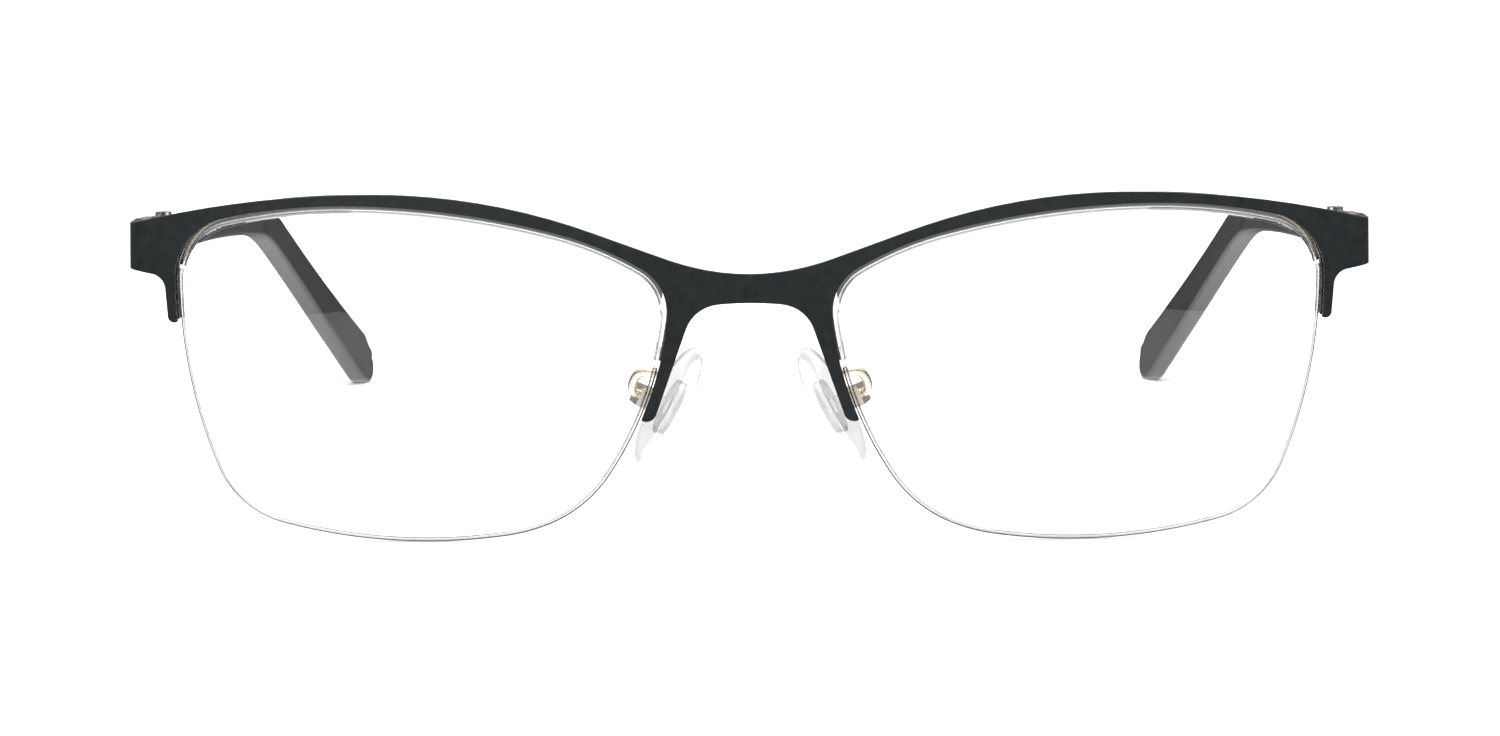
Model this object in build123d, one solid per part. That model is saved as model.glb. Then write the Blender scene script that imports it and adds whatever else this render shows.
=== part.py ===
from build123d import *
import os
from math import asin, atan2, cos, degrees, radians, sin

# Half rim eyeglasses.  Millimetres, +Z up, the glasses stand open on a table
# at z = 0 and look towards -Y.  "right" is the +X side, seen from the front.
# Working y runs back from the foremost point of the front; every node is
# moved by CENTRE_Y when it is written.

# Overall size
FRONT_WIDTH = 135.0
FRONT_RADIUS = 130.0          # sphere that the front and the lenses lie on
SPHERE_X = 27.0               # sphere centre, sideways
LENS_CENTRE = (35.6, 18.02)   # x, z of the boxed centre of a lens

# Lens outline: tangent arcs (radius, sweep in degrees) from the top, run
# towards the temple, down and back; two radii are solved so that it closes.
OUTLINE_START = (-7.8, 18.49)
OUTLINE_ARCS = [
    (60.1, 13), (6.5, 77), (None, 22), (10.2, 54), (64.3, 22), (19.6, 14),
    (14.4, 34), (None, 27), (5.7, 66), (35.4, 16), (87.5, 15),
]

# Depths behind the front surface of the front plate
PLATE_THICK = 1.0
LENS_FRONT = 0.5
LENS_BACK = 2.5
GROOVE = (1.3, 1.95)
TONGUE = (1.33, 1.92)
CHANNEL = (1.02, 2.7)
CHANNEL_WALL = 0.28
CORD = (1.34, 1.91)

# Offsets outward from the lens outline
PLATE_INNER = 0.1
TEMPLE_SIDE_SHIFT = 0.2       # extra opening beside the temple leg
LENS_EDGE = -0.35
GROOVE_BOTTOM = -0.85
CORD_INNER = -0.56
CORD_OUTER = 0.0
CHANNEL_INNER = 0.12
CHANNEL_OUTER = 1.1

# Where liner, cord and channel end: heights on the temple and nose sides
LINER_END = (30.0, 19.2)
CHANNEL_END = (24.3, 13.7)
END_GAP = 0.1

# Front plate outline
BRIDGE_TOP = 29.1
BRIDGE_BOTTOM = 26.05
CORNER_BOTTOM = 29.5
WRAP_RADIUS = 2.5
BRIDGE_BEND = 9.0             # radius of the bend on each side of the bridge
BRIDGE_BULGE = 5.0            # slope at the ends of the bridge, degrees

# Hinge
HINGE_X = 64.5
HINGE_Y = 14.6
KNUCKLE_RADIUS = 1.2
PIN_RADIUS = 0.5
PIN_FIT = 0.03
HINGE_BOTTOM = 30.3
KNUCKLE_HEIGHT = 1.4
KNUCKLE_GAP = 0.06
HEAD_HEIGHT = 0.45
HEAD_RADIUS = 0.9
LEAF_THICK = 0.85
LEAF_END = (16.4, 27.0)       # y of the temple leaf
LEAF_Z = (30.9, 32.5)

# Temple, side view: the lower and upper edge as height at the hinge, slope in
# degrees, and the lines and arcs from the hinge round the ear to the tip
BUTT_GAP = 0.2
LOWER_EDGE = (30.05, -1.5, [(1185, -4), (42, -16.5), (140, -16), (3.04,), (3.7, 38), (3.68, 90)])
UPPER_EDGE = (34.2, -4.0, [(87.5,), (35, -19), (279, -8), (2.0,), (3.0, -59)])
TEMPLE_END = 151.1            # y of the tip that these edges lead to
EDGE_ROUND = 0.6
RIGHT_SPLAY = 0.75            # the right temple stands further open, degrees

# Temple, plan: x of inner and outer face at the hinge, the bend and the tip
PLAN_Y = (HINGE_Y, 100.0, 151.0)
PLAN_LOW = ((63.75, 67.45), (62.2, 65.0), (51.5, 54.1))
PLAN_HIGH = ((63.75, 67.45), (62.2, 65.0), (60.1, 62.7))
PLAN_Z = (-1.0, 36.0)
PLAN_BEND = 60.0

# Nose pad
PAD_CENTRE = (8.8, 9.3, 13.8)
PAD_SLOPE = 27.0              # degrees from vertical, seen from the front
PAD_SPLAY = 22.0
PAD_SIZE = (14.2, 7.0, 2.4)
PAD_AXIS_DROP = 3.1           # rocking axis behind the middle of the pad
CORE_SIZE = (6.4, 3.0, 0.9)
TAB_THICK = 1.0
TAB_RADIUS = 0.8
BOX_SIZE = (2.2, 2.2, 2.0)    # along the pad, across it, through it
SCREW_RADIUS = 0.4
ARM_RADIUS = 0.5
ARM_POINTS = [(9.4, 4.5, 17.9), (10.7, 5.2, 18.3)]
ARM_BEND = 0.8

CENTRE_Y = -(LENS_FRONT + TEMPLE_END) / 2
FIT = 0.03                    # gap between pieces that touch


def turn(angle):
    """Unit vector at an angle in degrees."""
    return Vector(cos(radians(angle)), sin(radians(angle)), 0)


def trace(start, heading, steps):
    """Tangent lines (length,) and arcs (radius, sweep); left turns are positive."""
    edges = []
    point = Vector(*start)
    for step in steps:
        if len(step) == 1:
            end = point + turn(heading) * step[0]
            edges.append(Edge.make_line(point, end))
        else:
            radius, sweep = step
            side = 90 if sweep > 0 else -90
            centre = point + turn(heading + side) * radius
            middle = centre - turn(heading + side + sweep / 2) * radius
            end = centre - turn(heading + side + sweep) * radius
            heading += sweep
            edges.append(Edge.make_three_point_arc(point, middle, end))
        point = end
    return edges


def closed_face(edges):
    """Face inside a chain of edges, closed with a straight line if it is open."""
    wire = Wire(edges)
    if not wire.is_closed:
        closing = Edge.make_line(wire @ 1, wire @ 0)
        wire = Wire([*wire.edges(), closing])
    return Face(wire)


def outline_arcs():
    """Centre, radius, start angle and sweep of each arc of the lens outline."""
    headings = [180.0]
    for _, sweep in OUTLINE_ARCS:
        headings.append(headings[-1] + sweep)
    moves = [turn(b - 90) - turn(a - 90) for a, b in zip(headings, headings[1:])]
    rest = Vector(0, 0, 0)
    for (radius, _), move in zip(OUTLINE_ARCS, moves):
        if radius:
            rest += move * radius
    p, q = [move for (radius, _), move in zip(OUTLINE_ARCS, moves) if not radius]
    area = p.X * q.Y - p.Y * q.X
    solved = [(q.X * rest.Y - q.Y * rest.X) / area, (p.Y * rest.X - p.X * rest.Y) / area]
    arcs = []
    point = Vector(*OUTLINE_START)
    for (radius, sweep), heading, move in zip(OUTLINE_ARCS, headings, moves):
        radius = radius or solved.pop(0)
        centre = point - turn(heading - 90) * radius
        arcs.append((centre, radius, heading - 90, sweep))
        point += move * radius
    return arcs


def lens_face(offset, shift=0.0):
    """Right-hand lens outline grown by an offset, in x and z."""
    edges = []
    for centre, radius, start, sweep in outline_arcs():
        grown = radius + offset
        points = [centre + turn(start + sweep * part) * grown for part in (0, 0.5, 1)]
        edges.append(Edge.make_three_point_arc(*points))
    face = Face(Wire(edges))
    # the outline is drawn with the nose on its right, so it is mirrored here
    return Pos(LENS_CENTRE[0] + shift, LENS_CENTRE[1]) * mirror(face, Plane.YZ)


def ring(inner, outer):
    return lens_face(outer) - lens_face(inner)


def above(heights):
    """Everything above a line from the temple side to the nose side."""
    temple, nose = heights
    border = Polyline((63, temple), (9, nose), (5, nose), (5, 45), (70, 45), (70, temple), close=True)
    return Face(border.wire())


def prism(face, front=-3.0, back=20.0):
    """Extrude an x-z face along y."""
    return extrude(Plane.XZ.offset(-front) * face, amount=back - front, dir=(0, 1, 0))


def between(solid, front, back):
    """Keep the part of a solid between two depths behind the front sphere."""
    centre = Pos(SPHERE_X, FRONT_RADIUS, LENS_CENTRE[1])
    kept = solid & (centre * Sphere(FRONT_RADIUS - front))
    return kept - (centre * Sphere(FRONT_RADIUS - back))


def sheet_line(depth):
    """Plan view of the sheet at one depth, from the middle out and round the corner."""
    xs, radius = SPHERE_X, FRONT_RADIUS
    nose = -degrees(asin((xs - 8.0) / radius))
    wrap = degrees(asin((FRONT_WIDTH / 2 - WRAP_RADIUS - xs) / (radius - WRAP_RADIUS)))
    sphere = Vector(xs, radius)
    bend = sphere + turn(nose - 90) * (radius + BRIDGE_BEND)
    bridge_end = bend - turn(BRIDGE_BULGE - 90) * BRIDGE_BEND
    bulge = bridge_end.X / sin(radians(BRIDGE_BULGE))
    bridge = bridge_end - turn(BRIDGE_BULGE - 90) * bulge
    corner = sphere + turn(wrap - 90) * (radius - WRAP_RADIUS)

    def arc(centre, size, start, end):
        angles = (start, (start + end) / 2, end)
        return Edge.make_three_point_arc(*[centre + turn(a - 90) * size for a in angles])

    leg = corner + turn(0) * (WRAP_RADIUS - depth)
    return [
        arc(bridge, bulge - depth, 0, BRIDGE_BULGE),
        arc(bend, -(BRIDGE_BEND + depth), BRIDGE_BULGE, nose),
        arc(sphere, radius - depth, nose, wrap),
        arc(corner, WRAP_RADIUS - depth, wrap, 90),
        Edge.make_line(leg, Vector(leg.X, HINGE_Y + 3)),
    ]


def sheet(front, back):
    """Right half of the curved sheet between two depths, taller than the front."""
    outer = Wire(sheet_line(front))
    inner = Wire(sheet_line(back))
    joins = [Edge.make_line(outer @ end, inner @ end) for end in (0, 1)]
    face = Face(Wire([*outer.edges(), *inner.edges(), *joins]))
    axis = Axis((0, FRONT_RADIUS, 0), (1, 0, 0))
    lifted = Pos(0, 0, LENS_CENTRE[1]) * face.rotate(axis, -12)
    return revolve(lifted, Axis((0, FRONT_RADIUS, LENS_CENTRE[1]), (1, 0, 0)), 24)


def plate_face():
    """Right half of the front seen from the front, before the lens is cut out."""
    top = trace((0, BRIDGE_TOP), 0, [(26, 20.3), (8.4,), (67, -20.3), (109.5, -14.3)])
    tip = top[-1] @ 1
    side = FRONT_WIDTH / 2 + 0.05
    corner = Polyline(tip, (side, tip.Y), (side, CORNER_BOTTOM)).edges()
    leg = trace((side, CORNER_BOTTOM), 190, [(2.8,), (1.75, 75), (3.0,), (0.7, -140)])
    foot = leg[-1] @ 1
    arch = trace((0, BRIDGE_BOTTOM), 0, [(33, -6), (4.1, -64.5), (9.73,), (1.1, 120)])
    heel = arch[-1] @ 1
    middle = Polyline(foot, foot + Vector(-1.0, 0.5), (55, 23.4), (20, 14.8), heel + Vector(0.9, 0.8), heel)
    return closed_face([*top, *corner, *leg, *middle.edges(), *arch])


def front_plate():
    opening = lens_face(PLATE_INNER) + lens_face(PLATE_INNER, TEMPLE_SIDE_SHIFT)
    outline = plate_face() - opening
    half = prism(outline) & sheet(0, PLATE_THICK)
    half -= Pos(0, HINGE_Y + 10 - BUTT_GAP / 2, 30) * Box(200, 20, 40)
    return half + mirror(half, Plane.YZ)


def rim_channel():
    """Folded channel behind the plate, open towards the lens."""
    region = above(CHANNEL_END)
    solid = between(prism(ring(CHANNEL_INNER, CHANNEL_OUTER) & region), *CHANNEL)
    hollow = prism(ring(CHANNEL_INNER - 0.1, CHANNEL_OUTER - CHANNEL_WALL) & region)
    return solid - between(hollow, CHANNEL[0] + CHANNEL_WALL, CHANNEL[1] - CHANNEL_WALL)


def rim_liner():
    """T-shaped strip: the head fills the channel, the tongue sits in the groove."""
    region = above(LINER_END)
    head_depths = (CHANNEL[0] + CHANNEL_WALL + FIT, CHANNEL[1] - CHANNEL_WALL - FIT)
    head = prism(ring(CHANNEL_INNER, CHANNEL_OUTER - CHANNEL_WALL - FIT) & region)
    tongue = prism(ring(GROOVE_BOTTOM + FIT, CHANNEL_INNER + 0.1) & region)
    return between(head, *head_depths) + between(tongue, *TONGUE)


def lens():
    blank = between(prism(lens_face(LENS_EDGE)), LENS_FRONT, LENS_BACK)
    return blank - between(prism(ring(GROOVE_BOTTOM, LENS_EDGE + 1)), *GROOVE)


def nylon_cord():
    """Cord in the groove under the lens, up to the ends of the liner."""
    temple, nose = LINER_END
    region = above((temple - END_GAP, nose - END_GAP))
    return between(prism(ring(CORD_INNER, CORD_OUTER) - region), *CORD)


def slab(x, y, z):
    """Box from three (low, high) pairs."""
    size = [high - low for low, high in (x, y, z)]
    middle = [(high + low) / 2 for low, high in (x, y, z)]
    return Pos(*middle) * Box(*size)


def grow(span):
    return (span[0] - FIT, span[1] + FIT)


def knuckle_z(index):
    """Low and high z of one of the three hinge knuckles."""
    low = HINGE_BOTTOM + index * (KNUCKLE_HEIGHT + KNUCKLE_GAP)
    return (low, low + KNUCKLE_HEIGHT)


def hinge_disc(radius, z):
    return Pos(HINGE_X, HINGE_Y, (z[0] + z[1]) / 2) * Cylinder(radius, z[1] - z[0])


def hinge_hole():
    return hinge_disc(PIN_RADIUS + PIN_FIT, (HINGE_BOTTOM - 2, HINGE_BOTTOM + 8))


def hinge_front():
    """Leaf fixed inside the corner of the front, with the two outer knuckles."""
    wall = FRONT_WIDTH / 2 - PLATE_THICK - FIT
    solid = slab((wall - LEAF_THICK, wall), (9.8, HINGE_Y - 0.2), (knuckle_z(0)[0], knuckle_z(2)[1]))
    for index in (0, 2):
        z = knuckle_z(index)
        web = slab((HINGE_X, wall), (HINGE_Y - KNUCKLE_RADIUS, HINGE_Y - 0.2), z)
        solid += hinge_disc(KNUCKLE_RADIUS, z) + web
    swing = hinge_disc(KNUCKLE_RADIUS + 0.3, (knuckle_z(0)[1], knuckle_z(2)[0]))
    return solid - swing - hinge_hole()


def hinge_temple():
    """Leaf let into the inner face of the temple, with the middle knuckle."""
    z = knuckle_z(1)
    face = temple_inner_x(LEAF_END[1])
    leaf = slab((face, face + LEAF_THICK), LEAF_END, LEAF_Z)
    arm = slab((face, HINGE_X + 0.4), (HINGE_Y, LEAF_END[0] + 0.5), z)
    solid = hinge_disc(KNUCKLE_RADIUS, z) + arm + leaf
    return solid - hinge_hole()


def hinge_screw():
    low = HINGE_BOTTOM - 0.15
    high = knuckle_z(2)[1]
    head = (high + 0.02, high + HEAD_HEIGHT)
    solid = hinge_disc(PIN_RADIUS, (low, head[1])) + hinge_disc(HEAD_RADIUS, head)
    slot = slab((HINGE_X - 2, HINGE_X + 2), (HINGE_Y - 0.12, HINGE_Y + 0.12), (head[1] - 0.18, head[1] + 1))
    return solid - slot


def temple_inner_x(y):
    (start, bend, _), (near, far) = PLAN_Y, (PLAN_LOW[0][0], PLAN_LOW[1][0])
    return near + (far - near) * (y - start) / (bend - start)


def temple_side():
    """Side view of the temple in y and z."""
    start = HINGE_Y + BUTT_GAP / 2
    lower, upper = [trace((start, z), slope, steps) for z, slope, steps in (LOWER_EDGE, UPPER_EDGE)]
    hinge_end = Edge.make_line(lower[0] @ 0, upper[0] @ 0)
    tip_end = Edge.make_line(lower[-1] @ 1, upper[-1] @ 1)
    return Face(Wire([*lower, tip_end, *upper, hinge_end]))


def temple_plan(faces, z):
    """Closed plan outline of the temple at one height."""
    inner = FilletPolyline(*[(x[0], y) for x, y in zip(faces, PLAN_Y)], radius=PLAN_BEND)
    outer = FilletPolyline(*[(x[1], y) for x, y in zip(faces, PLAN_Y)], radius=PLAN_BEND)
    ends = [Edge.make_line(inner @ end, outer @ end) for end in (0, 1)]
    return Pos(0, 0, z) * Wire([*inner.edges(), *outer.edges(), *ends])


def temple_strip():
    """Tall strip that leans outward behind the ear, to be cut by the side view."""
    wires = [temple_plan(PLAN_LOW, PLAN_Z[0]), temple_plan(PLAN_HIGH, PLAN_Z[1])]
    return Solid.make_loft(wires, ruled=True)


def temple():
    profile = extrude(Plane.YZ * temple_side(), amount=30, dir=(1, 0, 0))
    solid = (Pos(45, 0, 0) * profile) & temple_strip()
    long_edges = [edge for edge in solid.edges() if edge.length > 12]
    solid = fillet(long_edges, EDGE_ROUND)
    barrel = hinge_disc(KNUCKLE_RADIUS + 0.3, (HINGE_BOTTOM - 3, HINGE_BOTTOM + 8))
    low, high = knuckle_z(1)
    notch = slab((HINGE_X - 4, HINGE_X + 0.4), (HINGE_Y - 1, LEAF_END[0] + 0.5), (low - 0.2, high + 0.1))
    face = temple_inner_x(LEAF_END[1])
    pocket = slab((face - 1, face + LEAF_THICK + FIT), (LEAF_END[0], LEAF_END[1] + FIT), grow(LEAF_Z))
    return solid - barrel - notch - pocket


def pad_frame():
    """Frame of a pad: x down its length, z out of its skin side."""
    slope, splay = radians(PAD_SLOPE), radians(PAD_SPLAY)
    down = Vector(sin(slope), 0, -cos(slope))
    inward = Vector(-cos(slope), 0, -sin(slope))
    skin = inward * cos(splay) + Vector(0, sin(splay), 0)
    return Plane(PAD_CENTRE, x_dir=down, z_dir=skin)


def oval(length, width, thick, middle=0.0):
    """Oval plate, its middle at a height along z."""
    return Pos(0, 0, middle - thick / 2) * extrude(Ellipse(length / 2, width / 2), amount=thick)


def pad_tab(radius, thick, reach):
    """Tongue behind the pad, round about the rocking axis."""
    disc = Pos(0, 0, -PAD_AXIS_DROP) * Rot(90, 0, 0) * Cylinder(radius, thick)
    return disc + slab((-radius, radius), (-thick / 2, thick / 2), (-PAD_AXIS_DROP, reach))


def nose_pad():
    """Soft oval pad, domed on the skin side, moulded round its hard core."""
    length, width, thick = PAD_SIZE
    pad = oval(length, width, thick)
    pad = fillet(pad.edges(), thick * 0.42)
    core = oval(CORE_SIZE[0] + 2 * FIT, CORE_SIZE[1] + 2 * FIT, CORE_SIZE[2] + 2 * FIT)
    neck = pad_tab(TAB_RADIUS + FIT, TAB_THICK + 2 * FIT, 0)
    return pad_frame() * (pad - core - neck)


def pad_core():
    """Hard insert of the pad with its drilled mounting tab."""
    hole = Pos(0, 0, -PAD_AXIS_DROP) * Rot(90, 0, 0) * Cylinder(SCREW_RADIUS + PIN_FIT, 6)
    return pad_frame() * (oval(*CORE_SIZE) + pad_tab(TAB_RADIUS, TAB_THICK, 0) - hole)


def pad_box():
    """Small open box on the arm that holds the tab of the pad."""
    length, width, depth = BOX_SIZE
    box = Pos(0, 0, -PAD_AXIS_DROP - 0.3) * Box(length, width, depth)
    slot = slab((-3, 3), (-TAB_THICK / 2 - 0.1, TAB_THICK / 2 + 0.1), (-PAD_AXIS_DROP - 1.0, 0))
    hole = Pos(0, 0, -PAD_AXIS_DROP) * Rot(90, 0, 0) * Cylinder(SCREW_RADIUS + FIT, 6)
    return pad_frame() * (box - slot - hole)


def pad_screw():
    """Pin through box and tab, with a head on the front side."""
    width = BOX_SIZE[1]
    shank = slab_pin(SCREW_RADIUS, -width / 2 - 0.02, width / 2 + 0.25)
    head = slab_pin(0.65, width / 2 + 0.02, width / 2 + 0.3)
    return pad_frame() * (Pos(0, 0, -PAD_AXIS_DROP) * (shank + head))


def slab_pin(radius, low, high):
    """Cylinder along y between two ends."""
    return Pos(0, (low + high) / 2, 0) * Rot(90, 0, 0) * Cylinder(radius, high - low)


def pad_arm():
    """Round wire from the back of the channel, out and back to the pad box."""
    back = PAD_AXIS_DROP + 0.3 + BOX_SIZE[2] / 2 + FIT
    ends = [pad_frame().from_local_coords((0, 0, -reach)) for reach in (back + 0.95, back)]
    path = FilletPolyline(*ARM_POINTS, *ends, radius=ARM_BEND)
    return sweep(Plane(path @ 0, z_dir=path % 0) * Circle(ARM_RADIUS), path=path)


NODES = {
    "front_plate": front_plate,
}
PAIRS = {
    "rim_channel": rim_channel,
    "rim_liner": rim_liner,
    "lens": lens,
    "nylon_cord": nylon_cord,
    "hinge_front": hinge_front,
    "hinge_temple": hinge_temple,
    "hinge_screw": hinge_screw,
    "temple": temple,
    "nose_pad": nose_pad,
    "pad_core": pad_core,
    "pad_box": pad_box,
    "pad_screw": pad_screw,
    "pad_arm": pad_arm,
}


def splayed(shape):
    """Turn a piece of the right temple further open about its hinge."""
    return shape.rotate(Axis((HINGE_X, HINGE_Y, 0), (0, 0, 1)), -RIGHT_SPLAY)


def write(shape, name):
    export_step(Pos(0, CENTRE_Y, 0) * shape, "parts/" + name + ".step")
    box = shape.bounding_box()
    print(name, round(shape.volume, 2), len(shape.solids()), box.min, box.max)


os.makedirs("parts", exist_ok=True)
for name, build in NODES.items():
    write(build(), name)
for name, build in PAIRS.items():
    shape = build()
    write(splayed(shape) if build in (temple, hinge_temple) else shape, name + "_right")
    write(mirror(shape, Plane.YZ), name + "_left")
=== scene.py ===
"""Looks of the half rim eyeglasses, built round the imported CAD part.  Metres, +Z up."""
from math import cos, pi, radians, sin, sqrt

import bpy
from mathutils import Matrix, Vector


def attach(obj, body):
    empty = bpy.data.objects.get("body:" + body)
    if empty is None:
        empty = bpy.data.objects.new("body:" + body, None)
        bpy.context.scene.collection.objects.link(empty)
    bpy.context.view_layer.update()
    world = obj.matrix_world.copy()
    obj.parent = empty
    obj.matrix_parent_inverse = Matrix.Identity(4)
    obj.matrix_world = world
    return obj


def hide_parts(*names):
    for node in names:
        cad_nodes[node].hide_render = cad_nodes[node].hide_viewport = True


MM = 0.001

# Dimensions shared with the CAD part, millimetres
FRONT_RADIUS = 130.0
SPHERE_X = 27.0
LENS_X = 35.6
LENS_Z = 18.02
CENTRE_Y = -75.8
OUTLINE_START = (-7.8, 18.49)
# Radius and sweep of each arc; None is a radius worked out so that the outline closes
OUTLINE_ARCS = [
    (60.1, 13), (6.5, 77), (None, 22), (10.2, 54), (64.3, 22), (19.6, 14),
    (14.4, 34), (None, 27), (5.7, 66), (35.4, 16), (87.5, 15),
]
LINER_END = (30.0, 19.2)      # height of the liner's temple end and nose end
LINER_NOSE_X = 9.0
LINER_SPAN = 54.0
CORD_RADIUS = 0.28
CORD_DEPTH = 1.625
CORD_OFFSET = -0.28
CORD_OVERLAP = 0.1            # how far the cord runs up past the liner's ends
PAD_CENTRE = (8.8, 9.3, 13.8)
PAD_SLOPE = 27.0
PAD_SPLAY = 22.0
PAD_SIZE = (14.2, 7.0, 2.4)
ARM_ROUTE = [(9.4, 4.5, 17.9), (10.9, 4.9, 18.5), (12.5, 6.0, 18.0)]
ARM_ENDS = (5.2, 4.43)        # behind the pad, along its skin direction
ARM_RADIUS = 0.5
SIDES = {"left": -1, "right": 1}

# Lens: offsets are outward from the outline, depths are behind the front sphere.
# LENS_RIM goes over the edge from front to back, its offsets measured from LENS_EDGE.
LENS_EDGE = -0.35
LENS_FRONT = 0.5
LENS_BACK = 2.5
LENS_SHARES = (0.15, 0.35, 0.55, 0.75, 0.9, 0.97)
LENS_RIM = [
    (-0.12, 0.5), (-0.03, 0.53), (0, 0.62), (0, 1.27), (-0.03, 1.3), (-0.44, 1.3), (-0.5, 1.36),
    (-0.5, 1.89), (-0.44, 1.95), (-0.03, 1.95), (0, 1.98), (0, 2.38), (-0.03, 2.47), (-0.12, 2.5),
]
GROOVE_BED = LENS_EDGE - 0.4  # rim points further in than this are the groove's bed
CORD_BED = CORD_OFFSET - CORD_RADIUS - 0.02
LENS_STEP = 0.6               # between points along the outline
STRIP_STEP = 0.45             # the same for cord and liner

# Liner section as (offset from the outline, depth): head in the channel, tongue in the groove
LINER_SECTION = [
    (-0.80, 1.37), (-0.76, 1.335), (0.10, 1.335), (0.13, 1.335), (0.75, 1.335), (0.79, 1.375),
    (0.79, 2.35), (0.75, 2.385), (0.16, 2.385), (0.13, 2.355), (0.13, 1.95), (0.10, 1.92),
    (-0.76, 1.92), (-0.80, 1.88),
]

# Pad from the skin side round to the back: share of the oval, share of the thickness
PAD_PROFILE = [
    (0.0, 0.5), (0.25, 0.495), (0.5, 0.46), (0.7, 0.39), (0.85, 0.28), (0.94, 0.16),
    (0.985, 0.04), (1.0, -0.08), (0.985, -0.2), (0.94, -0.32), (0.86, -0.42),
    (0.76, -0.48), (0.62, -0.5), (0.4, -0.475), (0.2, -0.46), (0.0, -0.455),
]
PAD_SQUARENESS = 2.3          # 2 is an ellipse, more is squarer

# Points round a section
CORD_SIDES = 16
PAD_SIDES = 48

# Edges sharper than BEVEL_ANGLE, in degrees, are rounded by these widths
BEVEL_ANGLE = 35.0
PLATE_BEVEL = 0.12
HARDWARE_BEVELS = {
    "hinge_front": 0.08, "hinge_temple": 0.08, "pad_box": 0.12, "hinge_screw": 0.06, "pad_screw": 0.06,
}

# Span of the noise that the surface variations use
NOISE_LOW = 0.3
NOISE_HIGH = 0.7

# White tent round the glasses: brightness, and the sine of the height where it changes
SKY_TOP = 1.9
SKY_HORIZON = 0.9
GLOSS_HORIZON = 0.15
HORIZON_END = 0.2
TOP_START = 0.8
FLOOR_SIZE = 12.0
LAMPS = {                     # place, target, size and power, in metres and watts
    "top": ((0, 0.1, 0.9), (0, 0, 0), (1.2, 1.2), 3),
    "front": ((-0.3, -1.0, 0.7), (0, 0, 0.02), (0.8, 0.6), 2),
}

# Camera: target in millimetres, angles in degrees, distance in metres
CAMERA_TARGET = (0, CENTRE_Y + 8.3, 18.215)
CAMERA_TILT = 6.75
CAMERA_ROLL = -0.25
CAMERA_DISTANCE = 0.52
CAMERA_LENS = 114.3
SENSOR_WIDTH = 36

# ---------------------------------------------------------------- lens outline


def turn(angle):
    """Unit vector at an angle in degrees."""
    return Vector((cos(radians(angle)), sin(radians(angle))))


def outline_arcs():
    """Centre, radius, start angle and sweep of each arc, as in the CAD part."""
    headings = [180.0]
    for _, sweep in OUTLINE_ARCS:
        headings.append(headings[-1] + sweep)
    moves = [turn(b - 90) - turn(a - 90) for a, b in zip(headings, headings[1:])]
    rest = Vector((0, 0))
    for (radius, _), move in zip(OUTLINE_ARCS, moves):
        if radius:
            rest += move * radius
    p, q = [move for (radius, _), move in zip(OUTLINE_ARCS, moves) if not radius]
    area = p.x * q.y - p.y * q.x
    solved = [(q.x * rest.y - q.y * rest.x) / area, (p.y * rest.x - p.x * rest.y) / area]
    arcs = []
    point = Vector(OUTLINE_START)
    for (radius, sweep), heading, move in zip(OUTLINE_ARCS, headings, moves):
        radius = radius or solved.pop(0)
        arcs.append((point - turn(heading - 90) * radius, radius, heading - 90, sweep))
        point += move * radius
    return arcs


def stations(step):
    """Points round the outline with their outward normals, in order."""
    found = []
    for centre, radius, start, sweep in outline_arcs():
        count = max(3, round(radius * radians(sweep) / step))
        for i in range(count):
            normal = turn(start + sweep * i / count)
            found.append((centre + normal * radius, normal))
    return found


def above_line(point, shift=0.0):
    """True where the liner runs, above a slanted line from its nose end to its temple end."""
    temple, nose = LINER_END
    x = LENS_X - point.x
    line = nose + (temple - nose) * (x - LINER_NOSE_X) / LINER_SPAN
    return point.y + LENS_Z > line + shift


def on_sphere(u, w, depth, side):
    """Point at outline coordinates u, w at a depth behind the front sphere."""
    x = LENS_X - u
    fall = (FRONT_RADIUS - depth) ** 2 - (x - SPHERE_X) ** 2 - w ** 2
    y = FRONT_RADIUS - sqrt(fall) + CENTRE_Y
    return Vector((side * x, y, w + LENS_Z)) * MM


def stretch(keep):
    """The run of outline stations for which keep(point) is true, unbroken."""
    marks = stations(STRIP_STEP)
    kept = [keep(point) for point, _ in marks]
    start = next(i for i in range(len(marks)) if kept[i] and not kept[i - 1])
    turned = marks[start:] + marks[:start]
    return [mark for mark in turned if keep(mark[0])]


# ---------------------------------------------------------------- mesh helpers


def new_object(name, verts, faces, flip):
    """Smooth mesh object; flip turns its faces the other way out."""
    mesh = bpy.data.meshes.new(name)
    mesh.from_pydata([tuple(v) for v in verts], [], faces)
    if flip:
        mesh.flip_normals()
    mesh.validate()
    mesh.shade_smooth()
    obj = bpy.data.objects.new(name, mesh)
    bpy.context.collection.objects.link(obj)
    return obj


def tube_faces(rows, width):
    """Quads between rings of points, open at both ends."""
    faces = []
    for row in range(rows - 1):
        for k in range(width):
            a, b = row * width + k, row * width + (k + 1) % width
            faces.append((a, b, b + width, a + width))
    return faces


def close_ring(verts, faces, row, width, hub):
    """Close the first or last ring of a tube with triangles round a hub."""
    centre = len(verts)
    verts.append(hub)
    for k in range(width):
        a, b = row * width + k, row * width + (k + 1) % width
        faces.append((b, a, centre) if row == 0 else (a, b, centre))


def outline_sweep(name, marks, section, side):
    """Carry a section of (offset, depth) points along the lens outline."""
    verts = []
    for point, normal in marks:
        for offset, depth in section:
            place = point + normal * offset
            verts.append(on_sphere(place.x, place.y, depth, side))
    width = len(section)
    faces = tube_faces(len(marks), width)
    faces.append(tuple(reversed(range(width))))
    faces.append(tuple(range(len(verts) - width, len(verts))))
    return new_object(name, verts, faces, flip=side > 0)


def sharp_edges(obj, angle):
    obj.data.set_sharp_from_angle(angle=radians(angle))


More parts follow.
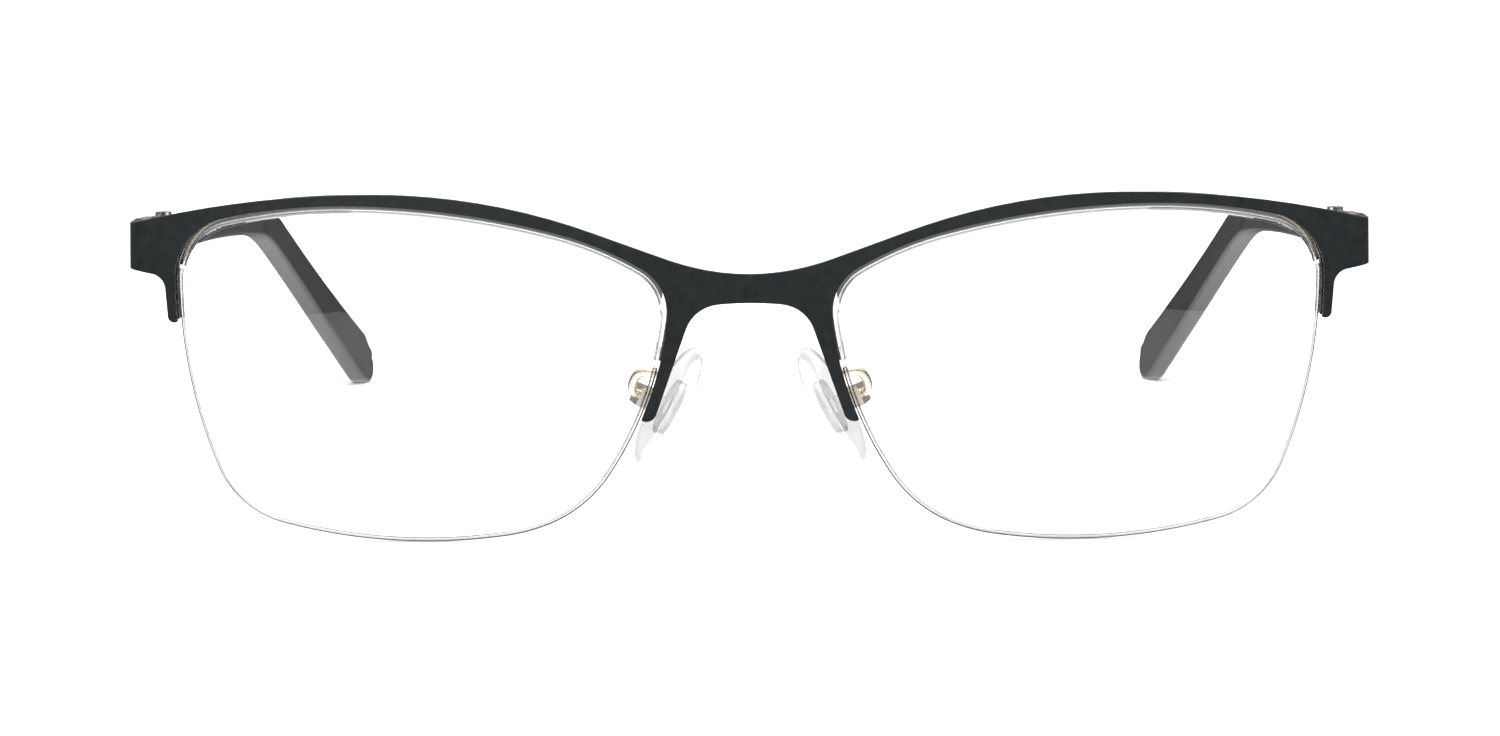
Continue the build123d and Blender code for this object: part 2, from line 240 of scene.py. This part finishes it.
def bevel(obj, width, segments=3, slot=-1):
    """Rounded edges, in the surface's own material or in that of a slot."""
    mod = obj.modifiers.new("edge", "BEVEL")
    mod.width = width * MM
    mod.segments = segments
    mod.limit_method = "ANGLE"
    mod.angle_limit = radians(BEVEL_ANGLE)
    mod.material = slot


# ---------------------------------------------------------------- pieces


def make_lens(side_name, side):
    """Curved lens with a groove all round and a small polished bevel on each edge.

    The groove is full depth from the middle of the top to the temple end of the liner.
    From there on, round the bottom and back to the top, it is only as deep as the cord
    needs, so the liner's tongue overlaps the lens by a little on the nose side.
    """
    marks = stations(LENS_STEP)
    cord_start = next(i for i, (point, _) in enumerate(marks) if not above_line(point))
    face = LENS_EDGE + LENS_RIM[0][0]
    loops = [(share, face, LENS_FRONT) for share in LENS_SHARES]
    loops += [(1, LENS_EDGE + offset, depth) for offset, depth in LENS_RIM]
    loops += [(share, face, LENS_BACK) for share in reversed(LENS_SHARES)]
    verts = []
    for share, offset, depth in loops:
        for i, (point, normal) in enumerate(marks):
            shallow = offset < GROOVE_BED and i >= cord_start
            place = (point + normal * (CORD_BED if shallow else offset)) * share
            verts.append(on_sphere(place.x, place.y, depth, side))
    width = len(marks)
    faces = tube_faces(len(loops), width)
    for depth, row in ((LENS_FRONT, 0), (LENS_BACK, len(loops) - 1)):
        close_ring(verts, faces, row, width, on_sphere(0, 0, depth, side))
    obj = new_object("lens_body_" + side_name, verts, faces, flip=side < 0)
    sharp_edges(obj, 15)
    return obj


def make_cord(side_name, side):
    """Round cord lying in the groove under the lens."""
    marks = stretch(lambda point: not above_line(point, -CORD_OVERLAP))
    angles = [2 * pi * k / CORD_SIDES for k in range(CORD_SIDES)]
    ring = [(CORD_OFFSET + CORD_RADIUS * cos(a), CORD_DEPTH + CORD_RADIUS * sin(a)) for a in angles]
    return outline_sweep("cord_" + side_name, marks, ring, side)


def make_liner(side_name, side):
    """T-shaped strip: head in the channel, tongue in the groove of the lens."""
    marks = stretch(above_line)
    obj = outline_sweep("liner_" + side_name, marks, LINER_SECTION, side)
    sharp_edges(obj, 50)
    return obj


def pad_axes(side):
    """Centre, length, width and skin directions of a nose pad."""
    slope, splay = radians(PAD_SLOPE), radians(PAD_SPLAY)
    down = Vector((sin(slope), 0, -cos(slope)))
    inward = Vector((-cos(slope), 0, -sin(slope)))
    skin = inward * cos(splay) + Vector((0, sin(splay), 0))
    across = skin.cross(down)
    centre = Vector(PAD_CENTRE) + Vector((0, CENTRE_Y, 0))
    flip = Matrix.Diagonal((side, 1, 1))
    return [flip @ v for v in (centre, down, across, skin)]


def make_pad(side_name, side):
    """Soft pad: oval, crowned on the skin side, flatter and dished behind."""
    centre, down, across, skin = pad_axes(side)
    length, width, thick = PAD_SIZE
    verts = []
    for grow, rise in PAD_PROFILE[1:-1]:
        for k in range(PAD_SIDES):
            angle = 2 * pi * k / PAD_SIDES
            total = abs(cos(angle)) ** PAD_SQUARENESS + abs(sin(angle)) ** PAD_SQUARENESS
            square = total ** (-1 / PAD_SQUARENESS)
            a = grow * length / 2 * cos(angle) * square
            b = grow * width / 2 * sin(angle) * square
            verts.append((centre + down * a + across * b + skin * rise * thick) * MM)
    rows = len(PAD_PROFILE) - 2
    faces = tube_faces(rows, PAD_SIDES)
    for row, rise in ((0, PAD_PROFILE[0][1]), (rows - 1, PAD_PROFILE[-1][1])):
        close_ring(verts, faces, row, PAD_SIDES, (centre + skin * rise * thick) * MM)
    return new_object("pad_soft_" + side_name, verts, faces, flip=side < 0)


def make_arm(side_name, side):
    """Round wire from the back of the channel, bowed out and back to the pad box."""
    centre, _, _, skin = pad_axes(side)
    route = [Vector((side * x, y + CENTRE_Y, z)) for x, y, z in ARM_ROUTE]
    route += [centre - skin * reach for reach in ARM_ENDS]
    data = bpy.data.curves.new("arm_wire_" + side_name, "CURVE")
    data.dimensions = "3D"
    data.bevel_depth = ARM_RADIUS * MM
    data.bevel_resolution = 6
    data.use_fill_caps = True
    spline = data.splines.new("NURBS")
    spline.points.add(len(route) - 1)
    for point, place in zip(spline.points, route):
        point.co = (*(place * MM), 1)
    spline.order_u = 3
    spline.use_endpoint_u = True
    spline.resolution_u = 12
    obj = bpy.data.objects.new("arm_wire_" + side_name, data)
    bpy.context.collection.objects.link(obj)
    return obj


# ---------------------------------------------------------------- materials


def material(name, color, roughness, **sockets):
    """Principled material; constants go on the shader's own sockets."""
    mat = bpy.data.materials.new(name)
    mat.use_nodes = True
    shader = mat.node_tree.nodes["Principled BSDF"]
    shader.inputs["Base Color"].default_value = (*color, 1)
    shader.inputs["Roughness"].default_value = roughness
    for socket, value in sockets.items():
        shader.inputs[socket.replace("_", " ")].default_value = value
    return mat


def noise(mat, scale, detail=4.0, stretch_by=(1, 1, 1)):
    """Noise in object space; scale is in features per millimetre."""
    nodes, links = mat.node_tree.nodes, mat.node_tree.links
    coords = nodes.new("ShaderNodeTexCoord")
    mapping = nodes.new("ShaderNodeMapping")
    mapping.inputs["Scale"].default_value = [s / MM for s in stretch_by]
    texture = nodes.new("ShaderNodeTexNoise")
    texture.inputs["Scale"].default_value = scale
    texture.inputs["Detail"].default_value = detail
    links.new(coords.outputs["Object"], mapping.inputs["Vector"])
    links.new(mapping.outputs["Vector"], texture.inputs["Vector"])
    return texture.outputs["Fac"]


def ramp(mat, value, low, high, colors):
    """Colour between two colours as a value goes from low to high."""
    node = mat.node_tree.nodes.new("ShaderNodeValToRGB")
    node.color_ramp.elements[0].position = low
    node.color_ramp.elements[1].position = high
    for element, color in zip(node.color_ramp.elements, colors):
        element.color = (*color, 1)
    mat.node_tree.links.new(value, node.inputs["Fac"])
    return node.outputs["Color"]


def vary_color(mat, scale, dark, light, **options):
    """Patches of slightly different colour."""
    value = noise(mat, scale, **options)
    color = ramp(mat, value, NOISE_LOW, NOISE_HIGH, (dark, light))
    shader = mat.node_tree.nodes["Principled BSDF"]
    mat.node_tree.links.new(color, shader.inputs["Base Color"])


def vary_roughness(mat, scale, low, high):
    """Patches of slightly different gloss."""
    node = mat.node_tree.nodes.new("ShaderNodeMapRange")
    node.inputs["From Min"].default_value = NOISE_LOW
    node.inputs["From Max"].default_value = NOISE_HIGH
    node.inputs["To Min"].default_value = low
    node.inputs["To Max"].default_value = high
    links = mat.node_tree.links
    links.new(noise(mat, scale), node.inputs["Value"])
    links.new(node.outputs["Result"], mat.node_tree.nodes["Principled BSDF"].inputs["Roughness"])


def bump(mat, scale, height, **options):
    """Fine relief; height in millimetres."""
    node = mat.node_tree.nodes.new("ShaderNodeBump")
    node.inputs["Strength"].default_value = 1.0
    node.inputs["Distance"].default_value = height * MM
    links = mat.node_tree.links
    links.new(noise(mat, scale, **options), node.inputs["Height"])
    links.new(node.outputs["Normal"], mat.node_tree.nodes["Principled BSDF"].inputs["Normal"])


def painted_contour_shade(mat, middle, contour_shade):
    """Painted shade: the colour of clear plastic goes to a darker grey where its surface turns away
    from the view, standing in for dark surroundings seen at its contours.
    """
    nodes, links = mat.node_tree.nodes, mat.node_tree.links
    weight = nodes.new("ShaderNodeLayerWeight")
    weight.inputs["Blend"].default_value = 0.5
    # painted shade: the base colour darkens towards grazing angles
    color = ramp(mat, weight.outputs["Facing"], 0.08, 0.42, (middle, contour_shade))
    links.new(color, nodes["Principled BSDF"].inputs["Base Color"])


def let_lamps_through(mat, tint):
    """Glass that doesn't block lamps: shadow rays pass, slightly tinted."""
    nodes, links = mat.node_tree.nodes, mat.node_tree.links
    shader = nodes["Principled BSDF"]
    output = nodes["Material Output"]
    path = nodes.new("ShaderNodeLightPath")
    clear = nodes.new("ShaderNodeBsdfTransparent")
    clear.inputs["Color"].default_value = (*tint, 1)
    mix = nodes.new("ShaderNodeMixShader")
    links.new(path.outputs["Is Shadow Ray"], mix.inputs["Fac"])
    links.new(shader.outputs["BSDF"], mix.inputs[1])
    links.new(clear.outputs["BSDF"], mix.inputs[2])
    links.new(mix.outputs["Shader"], output.inputs["Surface"])


def black_paint():
    """Semi-matte black on the stamped front."""
    mat = material("black_paint", (0.009, 0.0125, 0.014), 0.34, Specular_IOR_Level=0.4)
    vary_color(mat, 1.2, (0.0065, 0.0095, 0.011), (0.0105, 0.0145, 0.016))
    vary_roughness(mat, 0.5, 0.32, 0.42)
    bump(mat, 2.2, 0.004)
    return mat


def worn_edge():
    """Brownish metal where the paint is thin on the front's edges."""
    mat = material("worn_edge", (0.05, 0.035, 0.02), 0.4, Metallic=0.5)
    vary_color(mat, 1.5, (0.02, 0.016, 0.012), (0.10, 0.075, 0.045))
    vary_roughness(mat, 2.0, 0.3, 0.5)
    return mat


def black_acetate():
    """Satin black plastic of the temples."""
    mat = material("black_acetate", (0.008, 0.011, 0.013), 0.22, Specular_IOR_Level=0.42)
    vary_color(mat, 0.25, (0.006, 0.009, 0.011), (0.011, 0.015, 0.018), stretch_by=(1, 0.2, 1))
    vary_roughness(mat, 0.6, 0.18, 0.26)
    bump(mat, 0.5, 0.0015, detail=1.0)
    return mat


def champagne_metal():
    """Pale gold plating of the channel, hinges, pad boxes and pad arms."""
    mat = material("champagne_metal", (0.80, 0.72, 0.60), 0.25, Metallic=1.0)
    vary_color(mat, 0.8, (0.74, 0.66, 0.54), (0.84, 0.77, 0.66))
    vary_roughness(mat, 3.0, 0.18, 0.34)
    bump(mat, 6.0, 0.002)
    return mat


def screw_steel():
    mat = material("screw_steel", (0.75, 0.75, 0.74), 0.2, Metallic=1.0)
    vary_color(mat, 3.0, (0.66, 0.66, 0.66), (0.8, 0.8, 0.79))
    vary_roughness(mat, 8.0, 0.14, 0.3)
    return mat


def clear_plastic(name, tint, contour_shade, roughness, ior, shadow, alpha=1.0):
    """Clear plastic with painted shade at its contours; shadow is the tint of its shadow."""
    mat = material(name, tint, roughness, IOR=ior, Transmission_Weight=1.0, Alpha=alpha)
    painted_contour_shade(mat, tint, contour_shade)
    vary_roughness(mat, 1.5, roughness * 0.7, roughness * 1.4)
    bump(mat, 1.0, 0.003)
    let_lamps_through(mat, shadow)
    return mat


def lens_material():
    mat = material("clear_lens", (0.99, 1.0, 0.995), 0.0, IOR=1.5, Transmission_Weight=1.0)
    let_lamps_through(mat, (0.97, 0.98, 0.98))
    return mat


def dress(obj, mat):
    obj.data.materials.clear()
    obj.data.materials.append(mat)


# ---------------------------------------------------------------- studio


def floor():
    """White floor that gloss doesn't see, so that reflections show the tent below it."""
    bpy.ops.mesh.primitive_plane_add(size=FLOOR_SIZE, location=(0, 0, 0))
    plane = bpy.context.object
    plane.name = "floor"
    mat = material("floor_white", (0.95, 0.95, 0.95), 0.9, Specular_IOR_Level=0.0)
    plane.data.materials.append(mat)
    plane.visible_glossy = False


def area_light(name, place, target, size, power):
    data = bpy.data.lights.new(name, "AREA")
    data.shape = "RECTANGLE"
    data.size, data.size_y = size
    data.energy = power
    lamp = bpy.data.objects.new(name, data)
    lamp.location = place
    lamp.rotation_euler = (Vector(target) - Vector(place)).to_track_quat("-Z", "Y").to_euler()
    bpy.context.collection.objects.link(lamp)


def sky():
    """White tent, the same above and below; gloss sees a dark band near the horizon."""
    world = bpy.data.worlds.new("studio")
    bpy.context.scene.world = world
    world.use_nodes = True
    nodes, links = world.node_tree.nodes, world.node_tree.links
    coords = nodes.new("ShaderNodeTexCoord")
    split = nodes.new("ShaderNodeSeparateXYZ")
    path = nodes.new("ShaderNodeLightPath")
    links.new(coords.outputs["Generated"], split.inputs["Vector"])
    steep = nodes.new("ShaderNodeMath")
    steep.operation = "ABSOLUTE"
    links.new(split.outputs["Z"], steep.inputs[0])
    height = nodes.new("ShaderNodeMapRange")
    height.inputs["From Min"].default_value = HORIZON_END
    height.inputs["From Max"].default_value = TOP_START
    height.inputs["To Max"].default_value = SKY_TOP
    links.new(steep.outputs["Value"], height.inputs["Value"])
    horizon = nodes.new("ShaderNodeMapRange")
    horizon.inputs["To Min"].default_value = SKY_HORIZON
    horizon.inputs["To Max"].default_value = GLOSS_HORIZON
    links.new(path.outputs["Is Glossy Ray"], horizon.inputs["Value"])
    links.new(horizon.outputs["Result"], height.inputs["To Min"])
    links.new(height.outputs["Result"], nodes["Background"].inputs["Strength"])
    nodes["Background"].inputs["Color"].default_value = (1, 1, 1, 1)


def lights():
    sky()
    for name, lamp in LAMPS.items():
        area_light(name, *lamp)


def camera():
    """Long lens, a little above level, aimed at the middle of the front."""
    target = Vector(CAMERA_TARGET) * MM
    tilt = radians(CAMERA_TILT)
    data = bpy.data.cameras.new("camera")
    data.lens = CAMERA_LENS
    data.sensor_width = SENSOR_WIDTH
    data.clip_start = 0.01
    eye = target + Vector((0, -cos(tilt), sin(tilt))) * CAMERA_DISTANCE
    cam = bpy.data.objects.new("camera", data)
    aim = (target - eye).to_track_quat("-Z", "Y").to_matrix().to_4x4()
    roll = Matrix.Rotation(radians(CAMERA_ROLL), 4, "Z")
    cam.matrix_world = Matrix.Translation(eye) @ aim @ roll
    bpy.context.collection.objects.link(cam)
    bpy.context.scene.camera = cam
    bpy.context.scene.view_settings.view_transform = "Standard"


# ---------------------------------------------------------------- build

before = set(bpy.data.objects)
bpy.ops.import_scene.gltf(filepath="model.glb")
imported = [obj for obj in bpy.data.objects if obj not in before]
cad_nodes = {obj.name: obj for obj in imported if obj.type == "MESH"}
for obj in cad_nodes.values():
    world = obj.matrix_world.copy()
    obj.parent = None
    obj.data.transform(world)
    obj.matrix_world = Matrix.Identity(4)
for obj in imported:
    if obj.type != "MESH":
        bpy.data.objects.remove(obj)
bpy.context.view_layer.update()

paint, edge = black_paint(), worn_edge()
acetate, metal, steel = black_acetate(), champagne_metal(), screw_steel()
# The dark contour colours below are painted shade at the edges of each clear plastic.
nylon = clear_plastic(
    "clear_nylon", tint=(0.96, 0.965, 0.965), contour_shade=(0.08, 0.085, 0.09),
    roughness=0.015, ior=1.53, shadow=(0.75, 0.76, 0.76),
)
silicone = clear_plastic(
    "clear_silicone", tint=(0.95, 0.955, 0.95), contour_shade=(0.6, 0.61, 0.605),
    roughness=0.05, ior=1.16, shadow=(0.9, 0.9, 0.9), alpha=0.55,
)
core = clear_plastic(
    "clear_core", tint=(0.9, 0.905, 0.905), contour_shade=(0.42, 0.43, 0.43),
    roughness=0.03, ior=1.28, shadow=(0.9, 0.9, 0.9), alpha=0.6,
)
glass = lens_material()

dress(cad_nodes["front_plate"], paint)
cad_nodes["front_plate"].data.materials.append(edge)
bevel(cad_nodes["front_plate"], PLATE_BEVEL, segments=2, slot=1)

CARRIED = {
    "rim_channel": metal, "hinge_front": metal, "hinge_temple": metal, "pad_box": metal,
    "hinge_screw": steel, "pad_screw": steel, "pad_core": core, "temple": acetate,
}
for side_name, side in SIDES.items():
    for node, mat in CARRIED.items():
        dress(cad_nodes[node + "_" + side_name], mat)
    for node, width in HARDWARE_BEVELS.items():
        bevel(cad_nodes[node + "_" + side_name], width)
    made = {
        "lens": (make_lens(side_name, side), glass, "clear_lens", "front"),
        "nylon_cord": (make_cord(side_name, side), nylon, "clear_nylon", "front"),
        "rim_liner": (make_liner(side_name, side), nylon, "clear_nylon", "front"),
        "nose_pad": (make_pad(side_name, side), silicone, "clear_silicone", "nose_pad_" + side_name),
        "pad_arm": (make_arm(side_name, side), metal, "champagne_metal", "front"),
    }
    for node, (obj, mat, slot, body) in made.items():
        dress(obj, mat)
        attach(obj, body)
        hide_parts(node + "_" + side_name)

floor()
lights()
camera()
